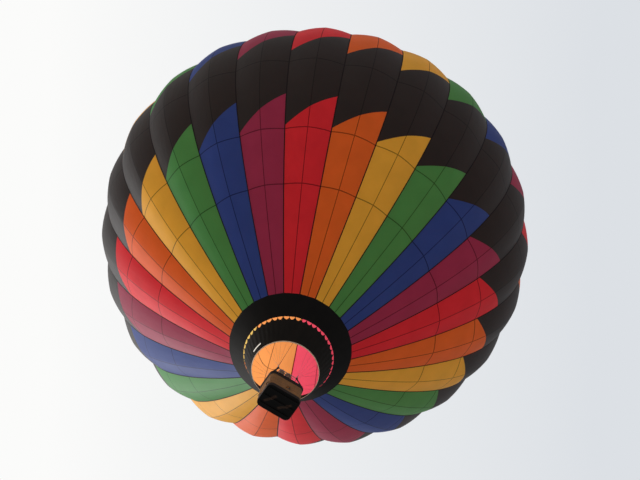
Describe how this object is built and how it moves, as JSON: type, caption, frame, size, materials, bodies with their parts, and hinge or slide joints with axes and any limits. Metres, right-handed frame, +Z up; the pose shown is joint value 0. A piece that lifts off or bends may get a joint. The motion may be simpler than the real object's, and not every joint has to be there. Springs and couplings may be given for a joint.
{
  "type": "hot air balloon",
  "caption": "Hot air balloon with a gored cloth envelope, parachute valve, skirt, gimballed double burner on a load frame and a wicker basket hung on wires.",
  "frame": {"origin": "middle of the envelope at its widest level, where the hot air lifts the balloon", "axes": "+Z up along the envelope's axis, +X along the basket's long side, -Y towards the basket's near foothold"},
  "size_m": [17.9792, 17.9792, 21.9911],
  "materials": {
    "plum_cloth": "thin woven nylon, satin",
    "red_cloth": "thin woven nylon, satin",
    "orange_cloth": "thin woven nylon, satin",
    "yellow_cloth": "thin woven nylon, satin",
    "green_cloth": "thin woven nylon, satin",
    "blue_cloth": "thin woven nylon, satin",
    "heatproof_cloth": "heat-proof woven cloth, matte",
    "skirt_cloth": "heat-proof woven cloth, matte",
    "hoop_sleeve": "pale cloth sleeve, matte",
    "tape_webbing": "woven load tape, matte",
    "parachute_cloth": "thin woven nylon, satin",
    "crown_ring_metal": "satin",
    "suede_leather": "suede, worn",
    "wicker": "woven cane, matte",
    "plywood": "varnished, worn",
    "runner_wood": "hardwood, scuffed",
    "cylinder_jacket": "padded jacket, matte",
    "frame_steel": "satin",
    "wire_steel": "stranded wire, satin",
    "burner_steel": "satin, heat-tinted",
    "upright_cover": "suede, zipped",
    "rope": "braided rope, matte"
  },
  "bodies": {
    "balloon": {"gore_01": "plum_cloth", "gore_02": "red_cloth", "gore_03": "orange_cloth", "gore_04": "yellow_cloth", "gore_05": "green_cloth", "gore_06": "blue_cloth", "gore_07": "plum_cloth", "gore_08": "red_cloth", "gore_09": "orange_cloth", "gore_10": "yellow_cloth", "gore_11": "green_cloth", "gore_12": "blue_cloth", "gore_13": "plum_cloth", "gore_14": "red_cloth", "gore_15": "orange_cloth", "gore_16": "yellow_cloth", "gore_17": "green_cloth", "gore_18": "blue_cloth", "gore_19": "plum_cloth", "gore_20": "red_cloth", "gore_21": "orange_cloth", "gore_22": "yellow_cloth", "gore_23": "green_cloth", "gore_24": "blue_cloth", "throat": "heatproof_cloth", "vent_rim": "tape_webbing", "skirt": "skirt_cloth", "skirt_hoop": "hoop_sleeve", "crown_tapes": "tape_webbing", "crown_ring": "crown_ring_metal", "basket_floor": "plywood", "basket_wall": "wicker", "foot_band": "suede_leather", "rim_band": "suede_leather", "rim_pad": "suede_leather", "load_frame": "frame_steel", "crown_line": "rope", "runner_1": "runner_wood", "runner_2": "runner_wood", "runner_3": "runner_wood", "fuel_cylinder_1": "cylinder_jacket", "upright_1": "upright_cover", "stay_wires_1": "wire_steel", "fuel_cylinder_2": "cylinder_jacket", "upright_2": "upright_cover", "stay_wires_2": "wire_steel", "fuel_cylinder_3": "cylinder_jacket", "upright_3": "upright_cover", "stay_wires_3": "wire_steel", "fuel_cylinder_4": "cylinder_jacket", "upright_4": "upright_cover", "stay_wires_4": "wire_steel"},
    "parachute": {"parachute_valve": "parachute_cloth"},
    "gimbal": {"gimbal_ring": "frame_steel"},
    "burner": {"burner_block": "burner_steel", "burner_can_1": "burner_steel", "burner_can_2": "burner_steel", "burner_coil_1": "burner_steel", "burner_coil_2": "burner_steel"}
  },
  "joints": [
    {"name": "parachute_pull", "type": "slide", "parent": "balloon", "child": "parachute", "axis": [0, 0, -1], "range_m": [0, 0.9], "stiffness_N_per_m": 150, "springref_m": -1},
    {"name": "gimbal_tilt", "type": "hinge", "parent": "balloon", "child": "gimbal", "pos_m": [0, 0, -12.75], "axis": [1, 0, 0], "range_deg": [-12, 12]},
    {"name": "burner_tilt", "type": "hinge", "parent": "gimbal", "child": "burner", "pos_m": [0, 0, -12.75], "axis": [0, 1, 0], "range_deg": [-12, 12]}
  ]
}
